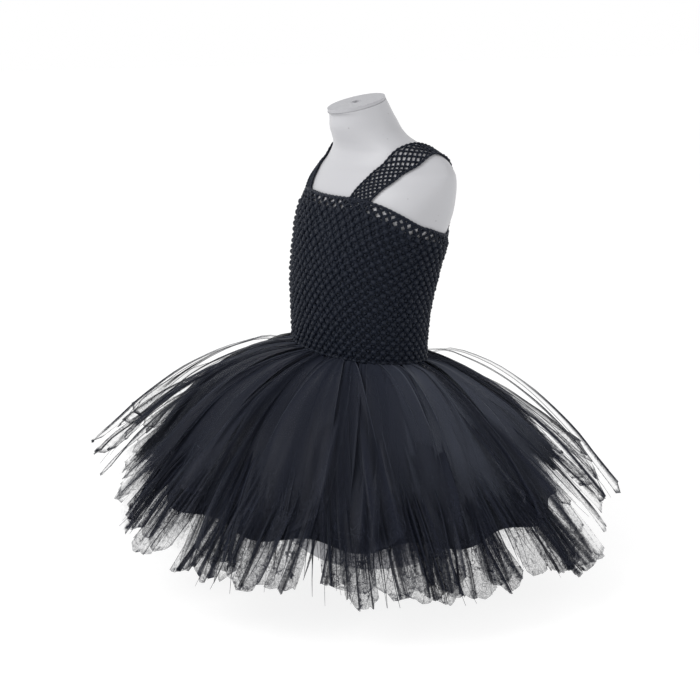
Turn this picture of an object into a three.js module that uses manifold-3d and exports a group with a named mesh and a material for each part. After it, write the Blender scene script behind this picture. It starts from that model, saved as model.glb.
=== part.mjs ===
// A child's tutu dress on a limbless dress form.
// Millimetres, +Z up. The dress faces -Y and the wearer's left is +X.
// The origin is the middle of the form's flat base.

import * as THREE from 'three';
import { mergeVertices } from 'three/addons/utils/BufferGeometryUtils.js';
import Module from 'manifold-3d';

const wasm = await Module();
wasm.setup();

// ---------------------------------------------------------------- driving sizes

const WAIST_HEIGHT = 225; // the form's waist above its base
const AROUND = 48; // facets round the form and round everything worn close to it

// The form's sections. Height is above the waist, front and back are the depths before and
// behind the centre line, which lies at centreY. Squareness 2 is an ellipse. Lean tips a section
// towards the front, as the neck's cut end is. Sweep is how far back the sides are drawn.
const FORM_COLUMNS = ['height', 'halfWidth', 'front', 'back', 'centreY', 'squareness', 'lean',
  'sweep'];
const FORM_ROWS = [
  [-225, 99, 81, 87, 6, 2.3, 0, 0],
  [-190, 102, 84, 90, 5, 2.3, 0, 0],
  [-120, 103, 82, 87, 3, 2.3, 0, 0],
  [-60, 95, 72, 76, -2, 2.2, 0, 0],
  [0, 86, 60, 62, -4, 2.2, 0, 0],
  [50, 88, 63, 64, -3, 2.2, 0, 0],
  [100, 94, 67, 68, 3, 2.25, 0, 0],
  [140, 102, 65, 69, 9, 2.35, 0, 2],
  [165, 110, 60, 66, 12, 2.4, 0, 8],
  [190, 115, 55, 59, 14, 2.25, 0, 16],
  [208, 114, 49, 56, 16, 1.9, 0, 22],
  [220, 105, 45, 52, 18, 1.7, 0, 23],
  [230, 91, 44, 45, 19, 1.65, 0, 18],
  [238, 71, 43, 39, 16, 1.7, 0, 12],
  [246, 53, 42, 37, 11, 1.8, 0, 6],
  [256, 41, 40, 38, 5, 1.9, 0, 2],
  [267, 36, 36, 36, 1, 2.0, 0, 0],
  [279, 32, 32, 32, -6, 2.0, 0.26, 0],
];
// Heights of the form's rings of points, in order.
const FORM_RINGS = [-225, -205, -165, -120, -80, -40, 0, 35, 70, 105, 135, 155, 175, 190, 202, 212,
  221, 229, 236, 243, 251, 260, 269, 279];

// Clearances from the form to each side of what it wears.
const LINING = { inner: 1.1, outer: 2.2 };
const STRAP = { inner: 1.35, outer: 2.45 };
const BODICE = { inner: 3.3, outer: 5.3 };
const LINING_BELOW_EDGE = 14; // the lining's top lies this far below the bodice's edge
const TUBE_ROWS = 8;

// The waist seam is higher in front than behind.
const SEAM_HEIGHT = 7;
const SEAM_SLOPE = -0.1;

// The bodice's top edge: straight across the chest, falling under the arm, low across the back.
// Turn is 0 at the side, -90 at the middle of the front and 90 at the middle of the back.
const EDGE_COLUMNS = ['turn', 'height'];
const EDGE_ROWS = [[-90, 183], [-66, 184], [-50, 180], [-30, 171], [0, 155], [16, 148], [32, 144],
  [55, 146], [90, 150]];

// The left strap's two edges over the shoulder. Tilt is 0 straight up from the strap's axis,
// negative in front and positive behind.
const STRAP_COLUMNS = ['tilt', 'innerX', 'outerX'];
const STRAP_ROWS = [[-50, 38, 63], [-43, 43, 68], [-30, 52, 77], [-15, 61, 86], [0, 66, 92],
  [12, 63, 89], [25, 56, 82], [50, 46, 71], [66, 43, 68]];
const STRAP_AXIS = { y: 22, height: 120 };
const STRAP_STATIONS = 26;
const STRAP_LANES = 3;

const NECK_PLATE = { thickness: 3.5, gap: 0.3, inset: 0.5, sides: 48 };
const NECK_RECESS = { width: 12, depth: 8, deep: 2.2 };

// The skirt's layers. Each station along a layer has its radius, its height over the waist seam,
// the height of its waves, and its slope from front to back. The first station lies on the waist,
// where the skirt has the waist's oval, and the rings grow round over the next ones.
const SKIRT_WALL = 1.2;
const WAIST_RADIUS = 74;
const WAIST_GAP = 1.1;
const SKIRT_CENTRE_Y = -4;
const STATION_COLUMNS = ['radius', 'height', 'wave', 'slope', 'round'];
const SKIRT_LAYERS = [
  {
    name: 'tulle_upper', waves: 32, perWave: 4, ragged: 9, phase: 0.4,
    stations: [
      [75, -1.3, 0, -0.10, 0], [98, -9, 0.6, -0.10, 0.2], [124, -22, 2.2, -0.11, 0.5],
      [168, -47, 4.5, -0.11, 0.9], [210, -75, 6, -0.11, 1], [252, -109, 7.5, -0.10, 1],
      [290, -147, 9, -0.09, 1],
    ],
  },
  {
    name: 'tulle_lower', waves: 36, perWave: 4, ragged: 8, phase: 2.1,
    stations: [
      [75, -3.1, 0, -0.10, 0], [100, -18, 0.8, -0.10, 0.3], [142, -49, 2.5, -0.08, 0.7],
      [196, -94, 4.5, -0.06, 1], [252, -143, 6.5, -0.05, 1], [297, -184, 8, -0.04, 1],
    ],
  },
  {
    name: 'skirt_lining', waves: 12, perWave: 4, ragged: 0, phase: 1.2,
    stations: [
      [75, -5.4, 0, -0.10, 0], [94, -27, 0.6, -0.10, 0.3], [134, -70, 2, -0.08, 0.8],
      [190, -120, 4, -0.06, 1], [230, -162, 6, -0.05, 1],
    ],
  },
];

// Strips of tulle that stand off above the skirt. Bearing is 0 at the wearer's left and -90 in
// front, reach is the radius of the free end, and lift is how far the strip stands over the upper
// layer on its way.
const LOOSE_COLUMNS = ['bearing', 'reach', 'lift', 'tipWidth'];
const LOOSE_ROWS = [
  [-139, 290, 10, 30],
  [-121, 302, 16, 36],
  [-103, 285, 10, 30],
  [40, 288, 12, 34],
  [58, 305, 26, 40],
  [76, 292, 14, 32],
];
const LOOSE = { wall: 1, gap: 0.6, rootRadius: 81, rootWidth: 9, tipLift: 16, roll: 12, steps: 7,
  roundBy: 110 };

// ---------------------------------------------------------------- materials

const material = (name, color, roughness) =>
  new THREE.MeshStandardMaterial({ name, color, roughness, metalness: 0 });
const MATERIALS = {
  form: material('form', 0xe4e3e6, 0.35),
  plate: material('plate', 0xd9d8dc, 0.5),
  crochet: material('crochet', 0x16181f, 0.85),
  lining: material('lining', 0x0e1015, 0.8),
  tulle: material('tulle', 0x20232c, 0.7),
};

const dress = new THREE.Group();

function add(name, geometry, look, parent = dress) {
  const mesh = new THREE.Mesh(geometry, look);
  mesh.name = name;
  parent.add(mesh);
  return mesh;
}

// ---------------------------------------------------------------- tables

const radians = THREE.MathUtils.degToRad;
const mix = THREE.MathUtils.lerp;

/** A table's row at a place between its rows, by name, with the columns eased between rows. */
function rowAt(columns, rows, place) {
  let k = 0;
  while (k < rows.length - 2 && rows[k + 1][0] <= place) k += 1;
  const width = rows[k + 1][0] - rows[k][0];
  const t = THREE.MathUtils.clamp((place - rows[k][0]) / width, 0, 1);
  const slopeAt = (row, column) => {
    const slope = (a, b) => (rows[b][column] - rows[a][column]) / (rows[b][0] - rows[a][0]);
    if (row === 0) return slope(0, 1);
    if (row === rows.length - 1) return slope(row - 1, row);
    const [before, after] = [slope(row - 1, row), slope(row, row + 1)];
    return before * after <= 0 ? 0 : (2 * before * after) / (before + after);
  };
  const result = {};
  columns.forEach((column, c) => {
    const [a, b] = [rows[k][c], rows[k + 1][c]];
    const [from, to] = [slopeAt(k, c) * width, slopeAt(k + 1, c) * width];
    result[column] = a + (b - a) * t * t * (3 - 2 * t)
      + from * t * (1 - t) * (1 - t) - to * t * t * (1 - t);
  });
  return result;
}

// ---------------------------------------------------------------- closed walls

/** Whether a column of a closed ring lies on the wearer's left. */
const onLeft = (column, columns) => Math.cos(((column + 0.5) / columns) * 2 * Math.PI) > 0;

/** A four-sided facet as two triangles, cut along its other diagonal on the mirrored side. */
const facet = (a, b, c, d, mirrored) => (mirrored ? [a, b, d, b, c, d] : [a, b, c, a, c, d]);

/**
 * A closed body from a grid of points: the outer side of the grid, the inner side and the rims.
 * A closed grid joins its last column to its first. The two halves of a pair mirror each other.
 */
function wall(columns, rows, outer, inner, { closed = false, mirrored = false } = {}) {
  const points = [];
  const steps = closed ? columns : columns + 1;
  const side = (surface) => {
    const first = points.length / 3;
    for (let r = 0; r <= rows; r += 1) {
      for (let c = 0; c < steps; c += 1) points.push(...surface(c / columns, r / rows, c, r));
    }
    return (c, r) => first + r * steps + (c % steps);
  };
  const [out, into] = [side(outer), side(inner)];
  const triangles = [];
  const quad = (a, b, c, d, flip = false) => triangles.push(...facet(a, b, c, d, flip));
  for (let c = 0; c < columns; c += 1) {
    const flip = closed ? onLeft(c, columns) : mirrored;
    for (let r = 0; r < rows; r += 1) {
      quad(out(c, r), out(c + 1, r), out(c + 1, r + 1), out(c, r + 1), flip);
      quad(into(c, r), into(c, r + 1), into(c + 1, r + 1), into(c + 1, r), flip);
    }
    quad(out(c, 0), into(c, 0), into(c + 1, 0), out(c + 1, 0));
    quad(out(c, rows), out(c + 1, rows), into(c + 1, rows), into(c, rows));
  }
  for (let r = 0; r < rows && !closed; r += 1) {
    quad(out(0, r), out(0, r + 1), into(0, r + 1), into(0, r));
    quad(out(columns, r), into(columns, r), into(columns, r + 1), out(columns, r + 1));
  }
  return facetted(points, triangles);
}

function facetted(points, triangles) {
  const geometry = new THREE.BufferGeometry();
  geometry.setAttribute('position', new THREE.Float32BufferAttribute(points, 3));
  geometry.setIndex(triangles);
  geometry.computeVertexNormals();
  return geometry;
}

// ---------------------------------------------------------------- the form

/** A point of the form's section at a height over the waist, moved out by the offset. */
function formPoint(height, angle, offset = 0) {
  const s = rowAt(FORM_COLUMNS, FORM_ROWS, height);
  const power = 2 / s.squareness;
  const [cosine, sine] = [Math.cos(angle), Math.sin(angle)];
  const depth = (sine < 0 ? s.front : s.back) + offset;
  const x = (s.halfWidth + offset) * Math.sign(cosine) * Math.abs(cosine) ** power;
  const y = depth * Math.sign(sine) * Math.abs(sine) ** power;
  return [
    x,
    s.centreY + y + s.sweep * (x / s.halfWidth) ** 2,
    WAIST_HEIGHT + height + s.lean * y,
  ];
}

/** Below 1 inside the form, 1 on its surface and above 1 outside it. */
function formLevel(x, y, height) {
  const s = rowAt(FORM_COLUMNS, FORM_ROWS, height);
  const centre = s.centreY + s.sweep * (x / s.halfWidth) ** 2;
  const depth = y < centre ? s.front : s.back;
  return Math.abs(x / s.halfWidth) ** s.squareness
    + Math.abs((y - centre) / depth) ** s.squareness;
}

/** The way straight out of the form at a point of its surface. */
function formNormal(x, y, height) {
  const step = 0.5;
  const rise = (dx, dy, dz) =>
    formLevel(x + dx, y + dy, height + dz) - formLevel(x - dx, y - dy, height - dz);
  return new THREE.Vector3(rise(step, 0, 0), rise(0, step, 0), rise(0, 0, step)).normalize();
}

function formGeometry() {
  const points = [];
  const triangles = [];
  for (const height of FORM_RINGS) {
    for (let c = 0; c < AROUND; c += 1) {
      points.push(...formPoint(height, (c / AROUND) * 2 * Math.PI));
    }
  }
  const at = (c, r) => r * AROUND + (c % AROUND);
  const last = FORM_RINGS.length - 1;
  for (let r = 0; r < last; r += 1) {
    for (let c = 0; c < AROUND; c += 1) {
      triangles.push(...facet(at(c, r), at(c + 1, r), at(c + 1, r + 1), at(c, r + 1),
        onLeft(c, AROUND)));
    }
  }
  for (let c = 1; c < AROUND - 1; c += 1) {
    triangles.push(at(0, 0), at(c + 1, 0), at(c, 0));
    triangles.push(at(0, last), at(c, last), at(c + 1, last));
  }
  return facetted(points, triangles);
}

add('form_torso', formGeometry(), MATERIALS.form);

// ---------------------------------------------------------------- the neck's end plate

function solidOf(geometry) {
  const bare = geometry.clone();
  bare.deleteAttribute('normal');
  bare.deleteAttribute('uv');
  const merged = mergeVertices(bare);
  return new wasm.Manifold(new wasm.Mesh({
    numProp: 3,
    vertProperties: merged.attributes.position.array,
    triVerts: new Uint32Array(merged.index.array),
  }));
}

function geometryOf(solid) {
  const { vertProperties, triVerts } = solid.getMesh();
  return facetted(Array.from(vertProperties), Array.from(triVerts));
}

function neckPlate() {
  const neck = rowAt(FORM_COLUMNS, FORM_ROWS, FORM_ROWS.at(-1)[0]);
  const lean = Math.atan(neck.lean);
  const radius = neck.halfWidth - NECK_PLATE.inset;
  const outline = new THREE.Shape();
  outline.absellipse(0, 0, radius, radius / Math.cos(lean), 0, 2 * Math.PI, false, 0);
  const disc = new THREE.ExtrudeGeometry(outline,
    { depth: NECK_PLATE.thickness, bevelEnabled: false, curveSegments: NECK_PLATE.sides });
  const { width, depth, deep } = NECK_RECESS;
  const recess = new THREE.BoxGeometry(width, depth, 2 * deep)
    .translate(0, 0, NECK_PLATE.thickness);
  const plate = add('neck_plate', geometryOf(solidOf(disc).subtract(solidOf(recess))),
    MATERIALS.plate);
  plate.rotation.x = lean;
  plate.position.set(0, neck.centreY, WAIST_HEIGHT + neck.height + NECK_PLATE.gap);
}

neckPlate();

// ---------------------------------------------------------------- bodice and its lining

/** How far round the body an angle is from its side: -90 in front, 90 behind. */
const turnOf = (angle) =>
  THREE.MathUtils.radToDeg(Math.atan2(Math.sin(angle), Math.abs(Math.cos(angle))));
const edgeHeight = (angle) => rowAt(EDGE_COLUMNS, EDGE_ROWS, turnOf(angle)).height;
const seamHeight = (y) => SEAM_HEIGHT + SEAM_SLOPE * y;
const seamAt = (angle) => seamHeight(formPoint(0, angle)[1]);

/** A tube worn round the form from the waist seam up, ending below the bodice's top edge. */
function tube(name, layer, below, look) {
  const surface = (offset) => (u, v, column, row) => {
    const angle = u * 2 * Math.PI;
    const height = row === TUBE_ROWS
      ? edgeHeight(angle) - below : mix(seamAt(angle), edgeHeight(angle), v);
    return formPoint(height, angle, offset);
  };
  add(name, wall(AROUND, TUBE_ROWS, surface(layer.outer), surface(layer.inner),
    { closed: true }), look);
}

tube('bodice', BODICE, 0, MATERIALS.crochet);
tube('bodice_lining', LINING, LINING_BELOW_EDGE, MATERIALS.lining);

// ---------------------------------------------------------------- shoulder straps

/** Where a ray from the strap's axis leaves the form, moved straight out by the offset. */
function overShoulder(x, tilt, offset) {
  const ray = (reach) => [
    x,
    STRAP_AXIS.y + reach * Math.sin(radians(tilt)),
    STRAP_AXIS.height + reach * Math.cos(radians(tilt)),
  ];
  let [near, far] = [0, STRAP_AXIS.height];
  while (far - near > 0.001) {
    const middle = (near + far) / 2;
    if (formLevel(...ray(middle)) < 1) near = middle;
    else far = middle;
  }
  const place = ray(near);
  const out = formNormal(...place).multiplyScalar(offset);
  return [place[0] + out.x, place[1] + out.y, WAIST_HEIGHT + place[2] + out.z];
}

function strap(name, sign) {
  const [first, last] = [STRAP_ROWS[0][0], STRAP_ROWS.at(-1)[0]];
  const surface = (offset) => (u, v) => {
    const edges = rowAt(STRAP_COLUMNS, STRAP_ROWS, mix(first, last, v));
    const across = sign > 0 ? u : 1 - u;
    return overShoulder(sign * mix(edges.innerX, edges.outerX, across), edges.tilt, offset);
  };
  add(name, wall(STRAP_LANES, STRAP_STATIONS, surface(STRAP.outer), surface(STRAP.inner),
    { mirrored: sign > 0 }), MATERIALS.crochet);
}

strap('strap_left', 1);
strap('strap_right', -1);

// ---------------------------------------------------------------- skirt

/** How far the waist lies from the skirt's axis, at a bearing. */
function waistRadius(bearing) {
  const waist = rowAt(FORM_COLUMNS, FORM_ROWS, 0);
  const depth = Math.sin(bearing) < 0 ? waist.front : waist.back;
  return (Math.abs(Math.cos(bearing) / waist.halfWidth) ** waist.squareness
    + Math.abs(Math.sin(bearing) / depth) ** waist.squareness) ** (-1 / waist.squareness);
}

/** A point of the skirt at a bearing, from a radius and a height over the seam. */
function skirtPoint(bearing, radius, height, slope, round) {
  const reach = radius + WAIST_GAP + (waistRadius(bearing) - WAIST_RADIUS) * (1 - round);
  const y = reach * Math.sin(bearing);
  return [
    reach * Math.cos(bearing),
    SKIRT_CENTRE_Y + y,
    WAIST_HEIGHT + SEAM_HEIGHT + height + slope * (SKIRT_CENTRE_Y + y),
  ];
}

const stationRow = (layer, k) =>
  Object.fromEntries(STATION_COLUMNS.map((column, c) => [column, layer.stations[k][c]]));

/** The way out of a layer's upper face at a station, as parts of radius and of height. */
function stationNormal(layer, k) {
  const last = layer.stations.length - 1;
  const before = stationRow(layer, Math.max(0, k - 1));
  const after = stationRow(layer, Math.min(last, Math.max(1, k + 1)));
  const run = after.radius - before.radius;
  const rise = after.height - before.height;
  const length = Math.hypot(run, rise);
  return { radius: -rise / length, height: run / length, along: [run / length, rise / length] };
}

/** How far a wave stands out at a column, and how far its hem is drawn in. */
function waveAt(layer, column) {
  const wave = Math.floor(column / layer.perWave);
  const swell = 0.72 + 0.28 * Math.sin(2.4 * wave + layer.phase);
  return swell * Math.sin((column / layer.perWave) * 2 * Math.PI);
}

function skirtSurface(layer, offset) {
  const columns = layer.waves * layer.perWave;
  return (u, v, column, k) => {
    const crowding = 0.35 * Math.sin(5 * u * 2 * Math.PI + layer.phase);
    const bearing = ((column + crowding * layer.perWave * 0.5) / columns) * 2 * Math.PI;
    const station = stationRow(layer, k);
    const normal = stationNormal(layer, k);
    const out = offset + station.wave * waveAt(layer, column % columns);
    const hem = k === layer.stations.length - 1
      ? layer.ragged * Math.sin(1.9 * column + layer.phase) * Math.sin(0.53 * column) : 0;
    return skirtPoint(
      bearing,
      station.radius + out * normal.radius + hem * normal.along[0],
      station.height + out * normal.height + hem * normal.along[1],
      station.slope,
      station.round,
    );
  };
}

for (const layer of SKIRT_LAYERS) {
  const columns = layer.waves * layer.perWave;
  const rows = layer.stations.length - 1;
  const upper = skirtSurface(layer, SKIRT_WALL / 2);
  const lower = skirtSurface(layer, -SKIRT_WALL / 2);
  add(layer.name, wall(columns, rows, lower, upper, { closed: true }),
    layer.name === 'skirt_lining' ? MATERIALS.lining : MATERIALS.tulle);
}

// ---------------------------------------------------------------- loose strips

/** The upper layer's height over the seam at a radius, on the middle of its wall. */
function upperHeight(radius) {
  const { stations } = SKIRT_LAYERS[0];
  let k = 0;
  while (k < stations.length - 2 && stations[k + 1][0] < radius) k += 1;
  const [[r0, z0], [r1, z1]] = [stations[k], stations[k + 1]];
  return z0 + ((z1 - z0) * (radius - r0)) / (r1 - r0);
}

function looseStrip(name, strip) {
  const onTop = (SKIRT_WALL + LOOSE.wall) / 2 + LOOSE.gap;
  const surface = (side) => (u, t) => {
    const radius = mix(LOOSE.rootRadius, strip.reach, t);
    const lift = strip.lift * Math.sin(Math.PI * t ** 0.7) + LOOSE.tipLift * t;
    const across = mix(LOOSE.rootWidth, strip.tipWidth, t) * (u - 0.5);
    const roll = radians(LOOSE.roll) * t;
    return skirtPoint(
      radians(strip.bearing) + (across * Math.cos(roll)) / radius,
      radius,
      upperHeight(radius) + onTop + lift + across * Math.sin(roll) + (side * LOOSE.wall) / 2,
      SEAM_SLOPE,
      Math.min(1, (radius - WAIST_RADIUS) / LOOSE.roundBy),
    );
  };
  add(name, wall(2, LOOSE.steps, surface(-1), surface(1)), MATERIALS.tulle);
}

LOOSE_ROWS.forEach((row, k) => {
  looseStrip(`loose_strip_${k + 1}`,
    Object.fromEntries(LOOSE_COLUMNS.map((column, c) => [column, row[c]])));
});

export default dress;
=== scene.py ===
"""A child's tutu dress of black crochet and tulle on a white limbless dress form.

Lengths in the tables are millimetres, as in the part's source, and meshes are built in metres.
The dress faces -Y, the wearer's left is +X, and the origin is the middle of the form's base.
Bearings go round the skirt from +X, so the front is -90 degrees.
"""

import math

import bmesh
import bpy
import numpy as np
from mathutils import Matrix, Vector


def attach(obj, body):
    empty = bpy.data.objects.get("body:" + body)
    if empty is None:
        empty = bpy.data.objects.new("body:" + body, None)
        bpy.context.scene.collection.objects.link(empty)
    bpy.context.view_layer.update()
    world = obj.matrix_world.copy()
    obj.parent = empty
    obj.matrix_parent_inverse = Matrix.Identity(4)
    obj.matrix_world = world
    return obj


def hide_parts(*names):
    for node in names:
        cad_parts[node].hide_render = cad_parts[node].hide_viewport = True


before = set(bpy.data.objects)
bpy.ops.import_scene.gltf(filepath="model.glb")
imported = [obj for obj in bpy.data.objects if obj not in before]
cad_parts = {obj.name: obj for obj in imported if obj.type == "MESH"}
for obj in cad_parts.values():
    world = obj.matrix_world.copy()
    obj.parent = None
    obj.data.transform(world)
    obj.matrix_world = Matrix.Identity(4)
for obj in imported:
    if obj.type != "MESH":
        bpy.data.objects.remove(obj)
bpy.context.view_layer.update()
MM = 0.001
TURN = 2 * math.pi
SCENE = bpy.context.scene

# ---- camera

CAMERA_BEARING = -30  # degrees, as the elevation
CAMERA_ELEVATION = 13.7
CAMERA_DISTANCE = 1.613  # metres, as the target
CAMERA_TARGET = Vector((-0.006, -0.011, 0.228))
CAMERA_LENS = 72.8  # millimetres, as the sensor
CAMERA_SENSOR = 36


def add_looking(name, data, target, bearing, elevation, distance):
    """A camera or light that looks at a target. The angles are in degrees."""
    thing = bpy.data.objects.new(name, data)
    b, e = math.radians(bearing), math.radians(elevation)
    away = Vector((math.cos(b) * math.cos(e), math.sin(b) * math.cos(e), math.sin(e)))
    thing.location = target + distance * away
    thing.rotation_euler = away.to_track_quat("Z", "Y").to_euler()
    SCENE.collection.objects.link(thing)
    return thing


def add_camera():
    data = bpy.data.cameras.new("camera")
    data.lens = CAMERA_LENS
    data.sensor_width = CAMERA_SENSOR
    SCENE.camera = add_looking("camera", data, CAMERA_TARGET, CAMERA_BEARING, CAMERA_ELEVATION,
                               CAMERA_DISTANCE)


add_camera()

# ---- tables


class Table:
    """Rows of named columns against the first column, eased from row to row without overshoot."""

    def __init__(self, columns, rows):
        self.columns = columns
        self.rows = np.array(rows, float)
        steps = np.diff(self.rows, axis=0)
        chords = steps[:, 1:] / steps[:, :1]
        before, after = chords[:-1], chords[1:]
        total = np.where(before + after == 0, 1, before + after)
        inner = np.where(before * after <= 0, 0, 2 * before * after / total)
        self.slopes = np.concatenate([chords[:1], inner, chords[-1:]])

    def at(self, place):
        """The columns at one or many places, by name."""
        place = np.asarray(place, float)
        keys = self.rows[:, 0]
        k = np.clip(np.searchsorted(keys, place, side="right") - 1, 0, len(keys) - 2)
        width = keys[k + 1] - keys[k]
        t = np.clip((place - keys[k]) / width, 0, 1)
        result = {self.columns[0]: place}
        for c, name in enumerate(self.columns[1:]):
            a, b = self.rows[k, c + 1], self.rows[k + 1, c + 1]
            start, end = self.slopes[k, c] * width, self.slopes[k + 1, c] * width
            result[name] = (a + (b - a) * t * t * (3 - 2 * t)
                            + start * t * (1 - t) ** 2 - end * t * t * (1 - t))
        return result


def ramp(value, low, high):
    """0 at low and below, 1 at high and above, and straight between them."""
    return np.clip((value - low) / (high - low), 0, 1)


# ---- the form's shape

WAIST_HEIGHT = 225
FORM = Table(
    ("height", "half_width", "front", "back", "centre_y", "squareness", "lean", "sweep"),
    [
        (-225, 99, 81, 87, 6, 2.3, 0, 0),
        (-190, 102, 84, 90, 5, 2.3, 0, 0),
        (-120, 103, 82, 87, 3, 2.3, 0, 0),
        (-60, 95, 72, 76, -2, 2.2, 0, 0),
        (0, 86, 60, 62, -4, 2.2, 0, 0),
        (50, 88, 63, 64, -3, 2.2, 0, 0),
        (100, 94, 67, 68, 3, 2.25, 0, 0),
        (140, 102, 65, 69, 9, 2.35, 0, 2),
        (165, 110, 60, 66, 12, 2.4, 0, 8),
        (190, 115, 55, 59, 14, 2.25, 0, 16),
        (208, 114, 49, 56, 16, 1.9, 0, 22),
        (220, 105, 45, 52, 18, 1.7, 0, 23),
        (230, 91, 44, 45, 19, 1.65, 0, 18),
        (238, 71, 43, 39, 16, 1.7, 0, 12),
        (246, 53, 42, 37, 11, 1.8, 0, 6),
        (256, 41, 40, 38, 5, 1.9, 0, 2),
        (267, 36, 36, 36, 1, 2.0, 0, 0),
        (279, 32, 32, 32, -6, 2.0, 0.26, 0),
    ],
)
FORM_BOTTOM, FORM_TOP = FORM.rows[0, 0], FORM.rows[-1, 0]
# The bodice's top edge over the waist, by degrees from the body's side: -90 in front, 90 behind.
EDGE = Table(
    ("turn", "height"),
    [(-90, 183), (-66, 184), (-50, 180), (-30, 171), (0, 155), (16, 148), (32, 144),
     (55, 146), (90, 150)],
)
STRAP = Table(  # a strap's two edges, from its front end (tilt -50) over the shoulder
    ("tilt", "inner_x", "outer_x"),
    [(-50, 38, 63), (-43, 43, 68), (-30, 52, 77), (-15, 61, 86), (0, 66, 92),
     (12, 63, 89), (25, 56, 82), (50, 46, 71), (66, 43, 68)],
)
STRAP_AXIS_Y = 22  # the line along X that the tilt turns about
STRAP_AXIS_HEIGHT = 120
SEAM_HEIGHT = 7  # the bodice's lower edge over the waist, where y is 0
SEAM_SLOPE = -0.1


def form_point(height, angle, offset=0.0):
    """A point of the form's section at a height over the waist, moved out by the offset."""
    s = FORM.at(height)
    power = 2 / s["squareness"]
    cosine, sine = np.cos(angle), np.sin(angle)
    depth = np.where(sine < 0, s["front"], s["back"]) + offset
    x = (s["half_width"] + offset) * np.sign(cosine) * np.abs(cosine) ** power
    y = depth * np.sign(sine) * np.abs(sine) ** power
    back = s["sweep"] * (x / s["half_width"]) ** 2
    z = WAIST_HEIGHT + height + s["lean"] * y
    return np.stack(np.broadcast_arrays(x, s["centre_y"] + y + back, z), -1)


def form_level(point):
    """Below 1 inside the form, 1 on its surface and above 1 outside it."""
    x, y, z = np.moveaxis(point, -1, 0)
    s = FORM.at(z - WAIST_HEIGHT)
    centre = s["centre_y"] + s["sweep"] * (x / s["half_width"]) ** 2
    depth = np.where(y < centre, s["front"], s["back"])
    return (np.abs(x / s["half_width"]) ** s["squareness"]
            + np.abs((y - centre) / depth) ** s["squareness"])


def form_normal(point):
    """The way straight out of the form at points of its surface."""
    step = 0.5
    axes = np.eye(3) * step
    return unit(np.stack([form_level(point + a) - form_level(point - a) for a in axes], -1))


def edge_height(angle):
    turn = np.degrees(np.arctan2(np.sin(angle), np.abs(np.cos(angle))))
    return EDGE.at(turn)["height"]


def seam_height(angle):
    return SEAM_HEIGHT + SEAM_SLOPE * form_point(0, angle)[..., 1]


def angles_round(height, count):
    """Angles that divide the form's girth at a height into equal lengths."""
    samples = 1441
    angle = np.linspace(0, TURN, samples)
    points = form_point(height, angle)
    length = np.concatenate([[0], np.cumsum(np.linalg.norm(np.diff(points, axis=0), axis=1))])
    return np.interp(np.linspace(0, length[-1], count + 1), length, angle)


# ---- meshes


def smooth_mesh(name, points, faces, material, slot, attributes=None):
    """A mesh object from points in millimetres, riding on the one body, with its finish."""
    mesh = bpy.data.meshes.new(name)
    mesh.from_pydata((np.asarray(points).reshape(-1, 3) * MM).tolist(), [],
                     faces if isinstance(faces, list) else faces.tolist())
    mesh.validate()
    mesh.shade_smooth()
    for key, values in (attributes or {}).items():
        layer = mesh.attributes.new(key, "FLOAT", "POINT")
        layer.data.foreach_set("value", np.asarray(values, np.float32).ravel())
    mesh.materials.append(material)
    piece = bpy.data.objects.new(name, mesh)
    SCENE.collection.objects.link(piece)
    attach(piece, "root")
    return piece


def grid_faces(rows, columns, closed=False):
    """Quads over a grid of rows x columns points. A closed grid's last column joins its first."""
    r, c = np.meshgrid(np.arange(rows - 1), np.arange(columns if closed else columns - 1),
                       indexing="ij")
    right = (c + 1) % columns
    quads = np.stack([r * columns + c, r * columns + right, (r + 1) * columns + right,
                      (r + 1) * columns + c], -1)
    return quads.reshape(-1, 4)


def unit(vectors):
    return vectors / np.linalg.norm(vectors, axis=-1, keepdims=True)


def across_and_out(lines, normals):
    """Unit vectors across lines of points, and out of the surface that they lie on."""
    along = unit(np.gradient(lines, axis=1))
    across = unit(np.cross(along, normals))
    return across, np.cross(across, along)


def tubes(centres, normals, radius, sides):
    """Closed tubes along many short lines at once: points and faces.

    centres and normals are lines x steps x 3, and radius is lines x steps.
    """
    lines, steps, _ = centres.shape
    across, out = across_and_out(centres, normals)
    phase = np.arange(sides) / sides * TURN
    ring = (across[:, :, None] * (np.cos(phase)[:, None] * radius[..., None, None])
            + out[:, :, None] * (np.sin(phase)[:, None] * radius[..., None, None]))
    points = (centres[:, :, None] + ring).reshape(-1, 3)
    wall = grid_faces(steps, sides, closed=True)
    starts = np.arange(lines)[:, None, None] * steps * sides
    quads = (wall[None] + starts).reshape(-1, 4).tolist()
    cap = np.arange(sides)
    low = (cap[::-1][None] + starts[:, 0]).tolist()
    high = (cap[None] + (steps - 1) * sides + starts[:, 0]).tolist()
    return points, quads + low + high


def merge(parts):
    """One list of points and one of faces from several."""
    points, faces, count = [], [], 0
    for part_points, part_faces in parts:
        points.append(part_points)
        faces += [[v + count for v in face] for face in part_faces]
        count += len(part_points)
    return np.concatenate(points), faces


# ---- materials


class Nodes:
    """A tree of nodes, with short ways to add to it."""

    def __init__(self, tree):
        self.tree = tree

    def fill(self, socket, value):
        """Links a socket, or sets it."""
        if isinstance(value, bpy.types.NodeSocket):
            self.tree.links.new(value, socket)
        else:
            socket.default_value = value

    def put(self, node, **sockets):
        for name, value in sockets.items():
            self.fill(node.inputs[name.replace("_", " ")], value)

    def add(self, kind, **sockets):
        node = self.tree.nodes.new(f"ShaderNode{kind}")
        self.put(node, **sockets)
        return node

    def span(self, value, low, high, to_low=0.0, to_high=1.0):
        return self.add("MapRange", Value=value, From_Min=low, From_Max=high, To_Min=to_low,
                        To_Max=to_high).outputs["Result"]


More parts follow.
